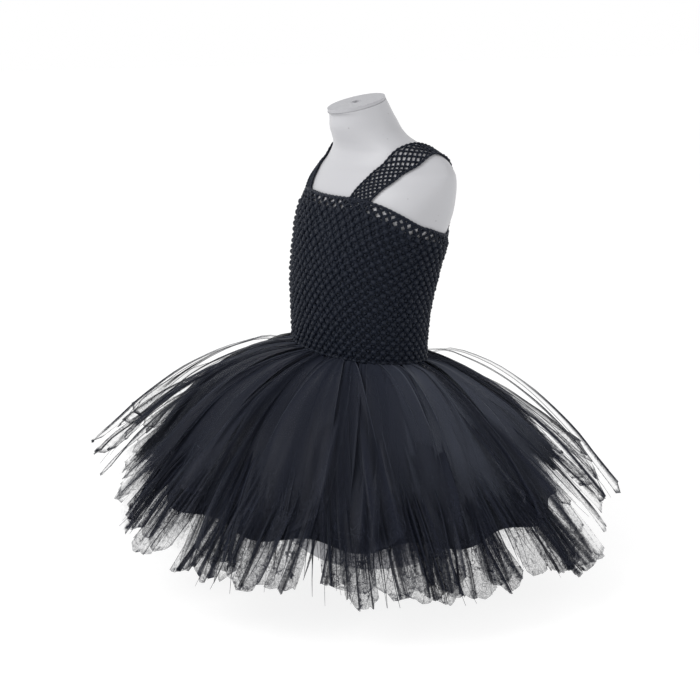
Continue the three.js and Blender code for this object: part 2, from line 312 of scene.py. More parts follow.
class Look(Nodes):
    """A Principled material. The scales of its patterns are in cells to a metre."""

    def __init__(self, name, colour, roughness, **sockets):
        self.material = bpy.data.materials.new(name)
        self.material.use_nodes = True
        super().__init__(self.material.node_tree)
        self.shader = self.tree.nodes["Principled BSDF"]
        self.put(self.shader, Base_Color=(*colour, 1), Roughness=roughness, **sockets)
        self.place = self.add("TexCoord").outputs["Object"]

    def noise(self, scale, detail=2.0, roughness=0.5):
        return self.add("TexNoise", Vector=self.place, Scale=scale, Detail=detail,
                        Roughness=roughness).outputs["Fac"]

    def cells(self, scale, feature="F1"):
        node = self.add("TexVoronoi", Vector=self.place, Scale=scale)
        node.feature = feature
        return node.outputs["Distance"]

    def attribute(self, name):
        node = self.add("Attribute")
        node.attribute_name = name
        return node.outputs["Fac"]

    def calculate(self, operation, a, b=0.0):
        node = self.add("Math")
        node.operation = operation
        self.fill(node.inputs[0], a)
        self.fill(node.inputs[1], b)
        return node.outputs[0]

    def tint(self, factor, at_zero, at_one):
        """Base colour between two colours by a factor."""
        node = self.add("Mix")
        node.data_type = "RGBA"
        self.put(node, Factor=factor, A=(*at_zero, 1), B=(*at_one, 1))
        self.put(self.shader, Base_Color=node.outputs["Result"])

    def bump(self, height, distance):
        node = self.add("Bump", Height=height, Distance=distance)
        self.put(self.shader, Normal=node.outputs["Normal"])


def form_look():
    """Satin white plastic with a faint mould texture and a few specks of dust."""
    white, dust = (0.46, 0.46, 0.48), (0.13, 0.12, 0.13)
    look = Look("form_satin", white, roughness=0.42, Specular_IOR_Level=0.4)
    specks = look.span(look.cells(scale=95), 0.0, 0.085, to_low=1.0, to_high=0.0)
    rare = look.span(look.noise(scale=60), 0.47, 0.50)
    look.tint(look.calculate("MULTIPLY", specks, rare), white, dust)
    look.bump(look.noise(scale=420, detail=3), distance=0.00008)
    return look.material


def plate_look():
    """The neck's end: matt and faintly mottled, a little darker than the form."""
    look = Look("plate_matte", (0.42, 0.42, 0.44), roughness=0.6)
    look.tint(look.noise(scale=180, detail=3), (0.38, 0.38, 0.40), (0.46, 0.46, 0.48))
    look.bump(look.noise(scale=900), distance=0.0001)
    return look.material


def crochet_look():
    """Dull black yarn of fine twisted fibres with a bluish sheen."""
    look = Look("crochet_yarn", (0.006, 0.008, 0.015), roughness=0.44, Sheen_Weight=0.05,
                Sheen_Roughness=0.4, Sheen_Tint=(0.7, 0.8, 1.0, 1), Specular_IOR_Level=0.2)
    fibres = look.noise(scale=2600, detail=3, roughness=0.6)
    look.tint(fibres, (0.002, 0.0035, 0.008), (0.008, 0.012, 0.025))
    look.bump(fibres, distance=0.0004)
    return look.material


def lining_look():
    """Dull black knit, the same for the bodice's lining and the skirt's."""
    look = Look("lining_knit", (0.006, 0.007, 0.012), roughness=0.7, Sheen_Weight=0.04,
                Specular_IOR_Level=0.12)
    knit = look.noise(scale=1400)
    look.tint(knit, (0.008, 0.010, 0.017), (0.012, 0.014, 0.023))
    look.bump(knit, distance=0.0002)
    return look.material


def tulle_look():
    """Fine black net.

    Three attributes of the mesh set it: cover is how much it hides, sheer how plainly its threads
    show, and the third how light its black is: a painted highlight along the cut sides and painted
    light on the side of the skirt that light shows through, over a lightness that differs at
    random.
    """
    look = Look("tulle_net", (0.010, 0.012, 0.020), roughness=0.5, Sheen_Weight=0.05,
                Sheen_Roughness=0.4, Sheen_Tint=(0.75, 0.84, 1.0, 1), Specular_IOR_Level=0.12)
    threads = look.span(look.cells(scale=620, feature="DISTANCE_TO_EDGE"), 0.03, 0.2,
                        to_low=0.75, to_high=-0.45)
    mottle = look.span(look.noise(scale=330, detail=3, roughness=0.6), 0.35, 0.65,
                       to_low=-0.6, to_high=0.6)
    crumple = look.calculate("SUBTRACT", look.noise(scale=55, detail=2.5), 0.5)
    wrinkles = look.span(look.calculate("ABSOLUTE", crumple), 0.004, 0.016, to_low=1.6,
                         to_high=0.0)
    grain = look.calculate("ADD", look.calculate("ADD", threads, mottle), wrinkles)
    grain = look.calculate("MULTIPLY", grain, look.attribute("sheer"))
    cover = look.attribute("cover")
    spread = look.calculate("MULTIPLY", cover, look.calculate("SUBTRACT", 1.0, cover))
    alpha = look.calculate("ADD", cover, look.calculate("MULTIPLY", spread, grain))
    look.put(look.shader, Alpha=alpha)
    # Painted highlight and painted light: the lighter colour stands for light caught along the cut
    # sides and light showing through the net on one side of the skirt.
    look.tint(look.attribute("painted_light_and_tone"), (0.010, 0.012, 0.021), (0.050, 0.056, 0.075))
    return look.material


FORM_LOOK = form_look()
PLATE_LOOK = plate_look()
CROCHET_LOOK = crochet_look()
LINING_LOOK = lining_look()
TULLE_LOOK = tulle_look()

# ---- form and neck plate

FORM_SIDES = 144
FORM_RINGS = ((FORM_BOTTOM, 120, 7.5), (120, 200, 4), (200, FORM_TOP, 1.75))  # from, to, step
FORM_SHARP = math.radians(50)  # edges that turn by more than this stay sharp


def build_form():
    heights = np.concatenate([np.arange(*band) for band in FORM_RINGS] + [[FORM_TOP]])
    angle = np.arange(FORM_SIDES) / FORM_SIDES * TURN
    points = form_point(heights[:, None], angle[None, :])
    faces = grid_faces(len(heights), FORM_SIDES, closed=True).tolist()
    ring = list(range(FORM_SIDES))
    faces.append(ring[::-1])
    faces.append([(len(heights) - 1) * FORM_SIDES + k for k in ring])
    form = smooth_mesh("form", points, faces, FORM_LOOK, "form")
    form.data.set_sharp_from_angle(angle=FORM_SHARP)
    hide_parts("form_torso")


def finish_plate():
    """The neck's end keeps its CAD shape, and gets its material."""
    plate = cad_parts["neck_plate"]
    plate.data.materials.clear()
    plate.data.materials.append(PLATE_LOOK)


build_form()
finish_plate()

# ---- crochet

# How far the pieces lie from the form.
GROUND_GAP = 2.9
YARN_GAP = 3.7
LINING_GAP = 1.7
STRAP_GROUND_GAP = 0.8
STRAP_YARN_GAP = 1.3
STRAP_BORDER_GAP = 1.9
EDGE_PULL = 2.2  # how much closer the bodice's top edge lies

COLUMNS_ROUND = 48  # stitches round the bodice
EVEN_HEIGHT = 80  # the height over the waist at which they are equally wide
BODY_ROWS = 25
EDGE_ROWS = 3
EDGE_ROW_HEIGHT = 4.4
BODICE_ROWS = BODY_ROWS + EDGE_ROWS
ROUND_ANGLES = angles_round(EVEN_HEIGHT, COLUMNS_ROUND)


def bodice_point(column, row, offset):
    """A point of the crochet tube. Column counts stitches round it and row counts rows up it."""
    angle = np.interp(np.mod(column, COLUMNS_ROUND), np.arange(COLUMNS_ROUND + 1), ROUND_ANGLES)
    low = seam_height(angle)
    high = edge_height(angle)
    band = high - EDGE_ROWS * EDGE_ROW_HEIGHT
    share = np.clip(row / BODY_ROWS, None, 1)
    edge_rows = np.clip(row - BODY_ROWS, 0, None)
    height = low + (band - low) * share + edge_rows * EDGE_ROW_HEIGHT
    return form_point(height, angle, offset - EDGE_PULL * edge_rows / EDGE_ROWS)


def strap_point(sign, across, along, offset):
    """A point of a strap. Across is 0 at its inner edge, along is 0 at its front end."""
    first, last = STRAP.rows[0, 0], STRAP.rows[-1, 0]
    edges = STRAP.at(first + (last - first) * along)
    tilt = np.radians(edges["tilt"])
    x = sign * (edges["inner_x"] + (edges["outer_x"] - edges["inner_x"]) * across)

    def ray(reach):
        return np.stack(np.broadcast_arrays(
            x, STRAP_AXIS_Y + reach * np.sin(tilt),
            WAIST_HEIGHT + STRAP_AXIS_HEIGHT + reach * np.cos(tilt)), -1)

    near = np.zeros(np.broadcast(x, tilt).shape)
    far = near + STRAP_AXIS_HEIGHT
    halvings = 18
    for _ in range(halvings):
        middle = (near + far) / 2
        inside = form_level(ray(middle)) < 1
        near, far = np.where(inside, middle, near), np.where(inside, far, middle)
    place = ray(near)
    return place + form_normal(place) * np.asarray(offset)[..., None]


LATTICE_STEPS = 4  # points along a run of yarn from knot to knot
KNOT_SEED = 11
KNOT_SIDEWAYS = 0.7  # how much of a knot's unevenness is sideways, in columns
KNOT_WIDTH = 0.7  # a ply's width at the knots, as a share of that between them
TWIST = 1.5 * math.pi  # how far the plies twist round each other from knot to knot
TWIST_CHANGE = 1.3  # how much further on the twist is in the next column


def knot_shifts(start, columns, rows, uneven, t):
    """How far each run lies off its place, across and up, since each knot lies a little off."""
    shifts = np.random.default_rng(KNOT_SEED).uniform(-uneven, uneven, (rows + 1, 2 * columns, 2))
    first = np.round(2 * start[:, 0]).astype(int)
    last = np.round(2 * (start[:, 0] + start[:, 2])).astype(int)
    level = start[:, 1].astype(int)
    from_knot = shifts[level, first % (2 * columns)]
    to_knot = shifts[level + 1, last % (2 * columns)]
    shift = from_knot[:, None] + (to_knot - from_knot)[:, None] * t[:, None]
    return KNOT_SIDEWAYS * shift[..., 0], shift[..., 1]


def lattice(surface, columns, rows, yarn, closed):
    """Two-ply yarns that run from knot to knot of a staggered lattice.

    surface(column, row, offset) gives points. yarn has the half width of a ply in the close rows
    and in the open ones, the first open row, the lift of the middle of each run, how far one yarn
    passes over the other at the knots and how uneven their places are.
    """
    t = np.linspace(0, 1, LATTICE_STEPS)
    starts = [(c + (0.5 if r % 2 else 0), r, way) for r in range(rows)
              for c in range(columns) for way in (-0.5, 0.5)]
    if not closed:
        starts = [s for s in starts if 0 <= s[0] + s[2] <= columns]
    start = np.array(starts, float)
    sideways, upward = knot_shifts(start, columns, rows, yarn["uneven"], t)
    column = start[:, :1] + start[:, 2:] * t + sideways
    row = start[:, 1:2] + t[None] + upward
    over = np.where(start[:, 2:] > 0, 1, -1) * np.cos(math.pi * t)[None]
    lift = yarn["lift"] * np.sin(math.pi * t)[None] + yarn["over"] * over
    centre = surface(column, row, lift)
    across, out = across_and_out(centre, centre - surface(column, row, lift - 1.0))
    ply = np.where(start[:, 1:2] >= yarn["open_from"], yarn["open_ply"], yarn["ply"])
    radius = ply * (KNOT_WIDTH + (1 - KNOT_WIDTH) * np.sin(math.pi * t))[None]
    apart, flattened = 0.72 * ply[..., None], 0.6
    parts = []
    for turn in (0, math.pi):
        twist = turn + TWIST * t[None] + start[:, :1] * TWIST_CHANGE
        line = centre + apart * (across * np.cos(twist)[..., None]
                                 + out * np.sin(twist)[..., None] * flattened)
        parts.append(tubes(line, out, radius, sides=4))
    return merge(parts)


def puffs(centres, radius, fineness):
    """Small round lumps of yarn, each a sphere of 20 faces at fineness 1 or 80 at 2."""
    ball = bmesh.new()
    bmesh.ops.create_icosphere(ball, subdivisions=fineness, radius=1)
    corners = np.array([v.co[:] for v in ball.verts])
    sides = np.array([[v.index for v in face.verts] for face in ball.faces])
    ball.free()
    points = centres.reshape(-1, 1, 3) + corners * np.reshape(radius, (-1, 1, 1))
    starts = np.arange(len(points))[:, None, None] * len(corners)
    return points.reshape(-1, 3), (sides + starts).reshape(-1, 3).tolist()


GROUND_STEPS = 8  # points of the ground to a stitch


def ground(surface, columns, row_steps, holes):
    """The crochet's back, a thin net. holes(column, row) is true where it is open."""
    column = np.arange(columns * GROUND_STEPS + 1) / GROUND_STEPS
    points = surface(column[None, :], row_steps[:, None], 0.0)
    faces = grid_faces(len(row_steps), len(column))
    middle_column = column[faces % len(column)].mean(1)
    middle_row = row_steps[faces // len(column)].mean(1)
    return points, faces[~holes(middle_column, middle_row)]


def in_hole(column, row, size):
    """Whether a place lies in the lattice's open diamonds, which are centred between four knots."""
    row_index = np.floor(row)
    distances = []
    for centre_row in (row_index, row_index + 1):
        shift = np.where(centre_row % 2 == 0, 0.5, 0.0)
        nearest = np.round(column - shift) + shift
        distances.append(np.abs(column - nearest) / 0.5 + np.abs(row - centre_row))
    return np.minimum(*distances) < size


BODICE_YARN = {"ply": 1.15, "open_ply": 1.25, "open_from": BODY_ROWS + 1, "lift": -0.3,
               "over": 0.3, "uneven": 0.17}
STRAP_YARN = {"ply": 0.82, "open_ply": 0.82, "open_from": 0, "lift": 0.0, "over": 0.3,
              "uneven": 0.05}
PUFFS = (  # at the knots of the close rows, and lower down in the gaps between them
    {"odd_shift": 1, "radius": 3.0, "offset": 0.3, "fineness": 2},
    {"odd_shift": 0, "radius": 2.3, "offset": -1.2, "fineness": 1},
)
PUFF_SEED = 3
BODICE_HOLE = 0.65
OPEN_STEP = 0.2  # the ground's steps in the bodice's open rows, in rows
BORDER_STEPS = 384
BORDER_SWING = 0.7  # how far each of a border's two plies swings about its middle


def bodice_puffs():
    """Lumps of yarn all over the bodice's close rows."""
    draw = np.random.default_rng(PUFF_SEED)
    parts = []
    for puff in PUFFS:
        row, column = np.meshgrid(np.arange(0, BODY_ROWS + 1), np.arange(COLUMNS_ROUND),
                                  indexing="ij")
        column = column + np.where(row % 2 == puff["odd_shift"], 0.5, 0.0)
        uneven = draw.uniform(-0.3, 0.3, (3, *row.shape))
        centres = bodice_point(column + 0.25 * uneven[0], row + 0.25 * uneven[1],
                               YARN_GAP + puff["offset"] + uneven[2])
        parts.append(puffs(centres, puff["radius"] * (1 + 0.3 * uneven[1]), puff["fineness"]))
    return merge(parts)


def border_ply(centre, foot, radius):
    """One ply of a border, from its middle line and that line's place on the form."""
    return tubes(centre[None], (centre - foot)[None], np.full((1, len(centre)), radius), sides=6)


def bodice_borders():
    """Two-ply borders along the top edge and the seam, with one turn of twist to a stitch."""
    column = np.arange(BORDER_STEPS + 1) / BORDER_STEPS * COLUMNS_ROUND
    parts = []
    for row, radius in ((BODICE_ROWS, 1.0), (0, 0.8)):
        for ply in (0, math.pi):
            twist = column * TURN + ply
            centre = bodice_point(column, row, YARN_GAP + BORDER_SWING * np.sin(twist))
            centre[..., 2] += BORDER_SWING * np.cos(twist)
            parts.append(border_ply(centre, bodice_point(column, row, 0), radius))
    return merge(parts)


def build_bodice():
    def surface(gap):
        return lambda column, row, offset: bodice_point(column, row, gap + offset)

    points, faces = lattice(surface(YARN_GAP), COLUMNS_ROUND, BODICE_ROWS, BODICE_YARN,
                            closed=True)
    crochet = smooth_mesh("bodice_crochet", points, faces, CROCHET_LOOK, "crochet")
    lumps = smooth_mesh("bodice_puffs", *bodice_puffs(), CROCHET_LOOK, "crochet")
    row_steps = np.concatenate([np.arange(0, BODY_ROWS),
                                np.arange(BODY_ROWS, BODICE_ROWS + 0.01, OPEN_STEP)])
    points, faces = ground(
        surface(GROUND_GAP), COLUMNS_ROUND, row_steps,
        lambda c, r: (r > BODY_ROWS + 2 * OPEN_STEP) & in_hole(c, r, BODICE_HOLE))
    back = smooth_mesh("bodice_ground", points, faces, CROCHET_LOOK, "crochet")
    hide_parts("bodice")
    border = smooth_mesh("bodice_border", *bodice_borders(), CROCHET_LOOK, "crochet")


LINING_DROP = 14  # how far under the bodice's top edge its lining ends


def build_lining():
    rows, columns = 24, 144
    angle = np.arange(columns) / columns * TURN
    share = np.linspace(0, 1, rows)[:, None]
    low = seam_height(angle)
    high = edge_height(angle) - LINING_DROP
    points = form_point(low + (high - low) * share, angle, LINING_GAP)
    lining = smooth_mesh("lining_tube", points, grid_faces(rows, columns, closed=True),
                         LINING_LOOK, "lining")
    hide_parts("bodice_lining")


STRAP_ROWS, STRAP_COLUMNS = 7, 30  # stitches across a strap and along it
STRAP_MARGIN = 2.2 / 26  # the share of its width that each border takes
STRAP_HOLE = 0.55
STRAP_STEP = 0.25  # the ground's steps across a strap, in rows
STRAP_BORDERS = (0.04, 0.96)  # where the borders run, as shares of the width
STRAP_BORDER_STEPS = 185
STRAP_BORDER_TWISTS = 23
STRAP_BORDER_SWING = 0.025  # as a share of the width
STRAP_BORDER_PLY = 0.8


def strap_borders(sign):
    """Two-ply borders along both edges of a strap."""
    along = np.linspace(0, 1, STRAP_BORDER_STEPS)
    parts = []
    for across in STRAP_BORDERS:
        for ply in (0, math.pi):
            twist = along * TURN * STRAP_BORDER_TWISTS + ply
            centre = strap_point(sign, across + STRAP_BORDER_SWING * np.cos(twist), along,
                                 STRAP_BORDER_GAP + BORDER_SWING * np.sin(twist))
            foot = strap_point(sign, np.full_like(along, across), along, 0.0)
            parts.append(border_ply(centre, foot, STRAP_BORDER_PLY))
    return merge(parts)


def build_strap(name, sign):
    """One strap. The lattice's columns run along it and its rows across it."""

    def surface(gap):
        def place(column, row, offset):
            across = STRAP_MARGIN + (1 - 2 * STRAP_MARGIN) * row / STRAP_ROWS
            return strap_point(sign, across, column / STRAP_COLUMNS, gap + offset)
        return place

    points, faces = lattice(surface(STRAP_YARN_GAP), STRAP_COLUMNS, STRAP_ROWS, STRAP_YARN,
                            closed=False)
    crochet = smooth_mesh(f"{name}_crochet", points, faces, CROCHET_LOOK, "crochet")
    points, faces = ground(
        surface(STRAP_GROUND_GAP), STRAP_COLUMNS, np.arange(0, STRAP_ROWS + 0.01, STRAP_STEP),
        lambda c, r: in_hole(c, r, STRAP_HOLE) & (r > 0.1) & (r < STRAP_ROWS - 0.1))
    back = smooth_mesh(f"{name}_ground", points, faces, CROCHET_LOOK, "crochet")
    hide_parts(name)
    border = smooth_mesh(f"{name}_border", *strap_borders(sign), CROCHET_LOOK, "crochet")


build_bodice()
build_lining()
build_strap("strap_left", 1)
build_strap("strap_right", -1)

# ---- skirt

WAIST_RADIUS = 74
WAIST_GAP = 1.1
SKIRT_CENTRE_Y = -4

# Stations along a line from the waist to a free end, seen from the side. Height is over the seam,
# slope is how much a station rises for each millimetre further back, and round is 0 where its plan
# is the waist's own outline and 1 where it is a circle.
STATION = ("radius", "height", "slope", "round")
LINING_STATIONS = [  # the last column is how far the folds stand in and out
    (75, -5.4, -0.10, 0, 0), (94, -27, -0.10, 0.3, 0.6), (134, -70, -0.08, 0.8, 2),
    (190, -120, -0.06, 1, 4), (226, -160, -0.05, 1, 6),
]
LINING_LOBES = 12
LINING_TURN = math.radians(-30)  # where one of the lobes lies lowest

# Lower and upper are the part's own layers, crown is the outline of the thick of the skirt and fan
# that of the sheer strips over it.
PROFILE_STATIONS = {
    "lower": [
        (75, -3.1, -0.10, 0), (100, -18, -0.10, 0.3), (142, -49, -0.08, 0.7),
        (196, -94, -0.06, 1), (252, -147, -0.05, 1), (300, -198, -0.04, 1),
    ],
    "upper": [
        (75, -1.3, -0.10, 0), (98, -9, -0.10, 0.2), (124, -22, -0.11, 0.5),
        (168, -47, -0.11, 0.9), (210, -75, -0.11, 1), (252, -109, -0.10, 1),
        (290, -147, -0.09, 1),
    ],
    "crown": [
        (75, -0.5, -0.10, 0), (98, -4, -0.10, 0.2), (124, -14, -0.11, 0.5),
        (150, -29, -0.11, 0.8), (173, -46, -0.10, 1), (192, -66, -0.09, 1),
        (212, -94, -0.08, 1), (232, -128, -0.07, 1), (250, -170, -0.06, 1),
    ],
    "fan": [
        (75, 0, -0.10, 0), (98, -3, -0.10, 0.2), (124, -13, -0.11, 0.5),
        (172, -37, -0.11, 0.9), (214, -64, -0.11, 1), (254, -95, -0.10, 1),
        (282, -121, -0.10, 1), (303, -146, -0.10, 1),
    ],
}


def by_share(stations, columns=STATION):
    """A layer's stations against the share of its length."""
    rows = np.array(stations, float)
    steps = np.hypot(np.diff(rows[:, 0]), np.diff(rows[:, 1]))
    share = np.concatenate([[0], np.cumsum(steps)]) / steps.sum()
    return Table(("share", *columns), np.column_stack([share, rows]))


PROFILES = {name: by_share(stations) for name, stations in PROFILE_STATIONS.items()}


def waist_radius(bearing):
    waist = FORM.at(0.0)
    depth = np.where(np.sin(bearing) < 0, waist["front"], waist["back"])
    return (np.abs(np.cos(bearing) / waist["half_width"]) ** waist["squareness"]
            + np.abs(np.sin(bearing) / depth) ** waist["squareness"]) ** (-1 / waist["squareness"])


def skirt_point(bearing, radius, height, slope, rounding):
    reach = radius + WAIST_GAP + (waist_radius(bearing) - WAIST_RADIUS) * (1 - rounding)
    x, y = reach * np.cos(bearing), SKIRT_CENTRE_Y + reach * np.sin(bearing)
    z = WAIST_HEIGHT + SEAM_HEIGHT + height + slope * y
    return np.stack(np.broadcast_arrays(x, y, z), -1)


def skirt_path(share, profile):
    """Stations along a line that lies between two profiles: (name, name, share of the second)."""
    first, second, weight = profile
    a, b = PROFILES[first].at(share), PROFILES[second].at(share)
    return {key: a[key] + (b[key] - a[key]) * weight for key in STATION}


def build_skirt_lining():
    """The skirt's lining: a flared ring in soft folds of uneven width."""
    rows, columns = 22, 240
    share = np.linspace(0, 1, rows)[:, None]
    station = by_share(LINING_STATIONS, (*STATION, "wave")).at(share)
    bearing = np.arange(columns) / columns * TURN
    turn = bearing - LINING_TURN
    wave = station["wave"] * np.cos(LINING_LOBES * turn + 0.5 * np.sin(3 * turn))
    points = skirt_point(bearing, station["radius"] + wave, station["height"] - 0.6 * wave,
                         station["slope"], station["round"])
    lining = smooth_mesh("skirt_lining_cloth", points, grid_faces(rows, columns, closed=True),
                         LINING_LOOK, "lining")
    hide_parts("skirt_lining")


CREASE = 1.3  # the width of a crease or a cut side
NET_COVER = 0.15  # how much of what is behind it one layer of net hides
LOWEST = 3.0  # the net is kept this far over the floor
CRUMPLE_HEIGHT = 2.2
CRUMPLE_WAVES = ((5, 3, 1.0), (11, -5, 0.6), (23, 9, 0.4))  # turn along, turn across, size
# Shares of a strip's length.
CREASE_RISE = (0.3, 0.55)  # over which its creases darken
CREASE_FALL = 0.12  # over which they die away
SIDE_RISE = (0.02, 0.17)  # over which its cut sides darken
HEM_START = 0.99  # from where its end is dark
CURL_START = 0.82  # from where a folded strip's end curls
# How its width, roll and sway grow along it, as powers of the share.
FLARE, ROLL_GROWTH, SWAY_GROWTH = 0.8, 1.4, 1.3


def lay(bearing, sideways, up, station):
    """Points of a strip from its line, how far each lies to the side and how far over the line."""
    tilt = np.arctan2(np.gradient(station["height"], axis=0),
                      np.gradient(station["radius"], axis=0))
    radius = station["radius"] - up * np.sin(tilt)
    height = station["height"] + up * np.cos(tilt)
    points = skirt_point(bearing + sideways / radius, radius, height, station["slope"],
                         station["round"])
    points[..., 2] = np.maximum(points[..., 2], LOWEST)
    return points


def fold_columns(draw, folds, tip, crease):
    """The columns of a strip: its sides, its creases and the middles of its folds.

    place is a column's share of the width, shift what it is moved by in millimetres, so that a
    crease keeps its width, rise what it is raised by there, because cut sides curl up and creases
    are steps, bow how far up or down it stands in the folds, stray how far off an even spacing it
    lies, and length how far down the strip its crease goes.
    """
    knots = np.sort(draw.uniform(0.05, 0.95, folds))
    bounds = np.concatenate([[0], knots, [1]])
    signs = np.where(np.arange(folds + 2) % 2, 1, -1)
    bows = draw.uniform(0.3, 1, folds + 2) * signs
    strays = draw.uniform(-0.5, 0.5, folds + 2) / (folds + 1)
    strays[[0, -1]] = 0
    lengths = draw.uniform(0.8, 1.15, folds + 2)
    rows = [(0, 0, "side", crease), (0, 0.6 * crease, "side in", 0),
            (1, -0.6 * crease, "side in", 0), (1, 0, "side", crease)]
    rows += [(knot, way * crease / 2, "crease", way * crease / 2)
             for knot in knots for way in (-1, 1)]
    rows += [((a + b) / 2, 0, "middle", 0) for a, b in zip(bounds[:-1], bounds[1:])]
    rows.sort(key=lambda row: row[0] + row[1] / tip)
    place, shift, kind, rise = (np.array(values) for values in zip(*rows))
    bow, stray, length = (np.interp(place, bounds, values) for values in (bows, strays, lengths))
    return {"place": place, "shift": shift, "rise": rise, "side": kind == "side",
            "crease": kind == "crease", "bow": bow, "stray": stray, "length": length,
            "bounds": bounds}


def panel(draw, bearing, profile, reach, tip, cut, folds, roll, line, edge, root=8.0, sway=0.0,
          crumple=1.0, ragged=0.02, slant=0.035, hem=0.45, fade=0.0, tone_and_painted_side_light=0.0, crease=CREASE,
          rows=22):
    """A strip of net from the waist out: points, faces, and how much it covers, how light it is,
    with its painted light, and how sheer it is at each point.

    reach is the share of the profile at which it ends, root and tip the widths of its two ends,
    cut the width of the cloth that is gathered into it, folds how many creases run along it, roll
    the turn of its end and sway its drift, in degrees, and crumple how rough it is. line and edge
    are how dark its creases and cut sides are, and crease how wide. ragged and slant are the
    unevenness and the slope of its end and hem how dark it is, fade the stretch over which its end
    thins out, and the argument after fade how light its black is: a lightness that differs at
    random, plus painted light on the side of the skirt that light shows through.
    """
    s = np.concatenate([np.linspace(0, 0.975, rows - 2), [0.993, 1.0]])[:, None]
    column = fold_columns(draw, folds, tip, crease)
    u = column["place"][None]
    jagged = np.interp(column["place"], column["bounds"],
                       draw.uniform(-ragged, ragged, len(column["bounds"])))
    rounded = draw.uniform(0.01, 0.06) * (2 * u - 1) ** 2
    end = 1 - rounded + draw.uniform(-2, 2) * slant * (u - 0.5) + jagged
    share = np.clip(reach * s * (1 + (end - 1) * s ** 3), 0, 1)
    station = skirt_path(share, profile)
    width = root + (tip - root) * s ** FLARE
    narrow = np.clip(width / (4 * crease * (folds + 1)), 0, 1)
    offset = width * (u + column["stray"] - 0.5) + column["shift"] * narrow
    up = (0.4 + 0.07 * width) * column["bow"] * np.minimum(1, 2.2 * s)
    waves = sum(size * np.sin(along * s + across * u + phase)
                for (along, across, size), phase in zip(CRUMPLE_WAVES, draw.uniform(0, TURN, 3)))
    up = up + crumple * CRUMPLE_HEIGHT * s * waves
    turn = math.radians(roll) * s ** ROLL_GROWTH
    drift = math.radians(bearing) + math.radians(sway) * s ** SWAY_GROWTH
    points = lay(drift, offset * np.cos(turn),
                 up + offset * np.sin(turn) + column["rise"] * narrow, station)
    whole = np.ones_like(share)
    net = 1 - (1 - NET_COVER) ** (cut / width) * whole
    creased = (line * column["crease"] * ramp(s, *CREASE_RISE)
               * ramp(column["length"] - s, 0, CREASE_FALL))
    side = edge * column["side"] * ramp(s, *SIDE_RISE)
    cover = np.maximum.reduce([net, creased, side, hem * (s > HEM_START) * whole])
    if fade:
        cover = cover * ramp(1 - s, 0, fade)
    # Painted highlight along the cut sides, fading down the strip, over the strip's own lightness
    # and its painted side light.
    painted_light_and_tone = np.maximum(column["side"] * np.clip(1.3 - s, 0, 1) * whole, tone_and_painted_side_light)
    return points, grid_faces(len(s), u.size), cover, painted_light_and_tone, ramp(share, 0.5, 0.8)


def spike(draw, bearing, profile, reach, width, roll, sway, curl, cover, tone_and_painted_side_light=0.0):
    """A strip folded on itself into a narrow dark point. It returns what panel does."""
    rows = 18
    ridge = np.array([-1, 1, -1])[None]  # its middle stands up between its two sides
    s = np.linspace(0, 1, rows)[:, None]
    u = np.array([0.0, 0.5, 1.0])[None]
    whole = np.ones((rows, u.size))
    station = skirt_path(np.clip(reach * s * whole, 0, 1), profile)
    body = np.interp(s, [0, 0.15, 0.55, 0.85, 1], [2.5, 4, width, 0.5 * width, 0.4])
    offset = body * (u - 0.5) + curl * ramp(s, CURL_START, 1) ** 2
    up = body * 0.3 * ridge + 2 * s * np.sin(7 * s + draw.uniform(0, TURN))
    turn = math.radians(roll) * s
    drift = math.radians(bearing) + math.radians(sway) * s ** SWAY_GROWTH
    points = lay(drift, offset * np.cos(turn), up + offset * np.sin(turn), station)
    covers = cover * np.array([0.8, 1, 0.8])[None] * whole
    # How light it is: its own lightness, with painted light on the side of the skirt that light
    # shows through.
    return points, grid_faces(rows, u.size), covers, tone_and_painted_side_light * whole, s * whole


def tulle_piece(name, strips, nodes):
    """One mesh of many strips, with their attributes, which hides the part's nodes that it
    replaces.
    """
    points, faces, *values = zip(*strips)
    starts = np.cumsum([0] + [part[..., 0].size for part in points[:-1]])
    attributes = {key: np.concatenate([part.ravel() for part in parts])
                  for key, parts in zip(("cover", "painted_light_and_tone", "sheer"), values)}
    piece = smooth_mesh(name, np.concatenate([part.reshape(-1, 3) for part in points]),
                        np.concatenate([part + start for part, start in zip(faces, starts)]),
                        TULLE_LOOK, "tulle", attributes)
    if nodes:
        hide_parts(*nodes)


def round_table(*rows):
    """A table of what changes round the skirt, by bearing in degrees."""
    return Table(("bearing", "value"), rows)


FAN_WINDOWS = ((-152, -96), (24, 92))  # where sheer strips stand highest, at the two sides
DARK_REACH = round_table(  # how far the dark strips reach
    (-180, 0.90), (-150, 0.76), (-122, 0.72), (-100, 0.81), (-75, 0.84), (-48, 0.97), (-30, 0.94),
    (-5, 0.95), (20, 0.90), (44, 0.76), (66, 0.72), (90, 0.78), (125, 0.92), (180, 0.90))
HEM_REACH = round_table(  # how far the sheer strips reach
    (-180, 0.99), (-150, 0.92), (-122, 0.87), (-100, 0.92), (-70, 0.99), (-30, 1.0), (25, 1.0),
    (60, 0.94), (90, 0.94), (130, 0.98), (180, 0.99))
BODY_EXTRA = round_table(  # how much further than elsewhere the thick of the skirt reaches
    (-180, 0), (-125, -0.02), (-100, 0.08), (-62, 0.05), (-40, 0), (20, 0), (35, -0.12),
    (90, -0.12), (110, 0), (180, 0))
NET_CUT = round_table(  # how much net is gathered into a strip of the hem
    (-180, 95), (-110, 70), (-95, 62), (-62, 62), (-45, 105), (-10, 110), (20, 90), (180, 95))
FAN_CUT = 24  # the same in the windows
PAINTED_SIDE_LIGHT = round_table(  # painted light: how much lighter the thick of the skirt is, most where light shows through it
    (-180, 0.15), (-120, 0.0), (-60, 0.0), (-20, 0.15), (10, 0.8), (60, 0.9), (90, 0.3),
    (180, 0.15))


def wrapped(bearing):
    return (bearing + 180) % 360 - 180


def value_at(table, bearing):
    return table.at(wrapped(bearing))["value"]


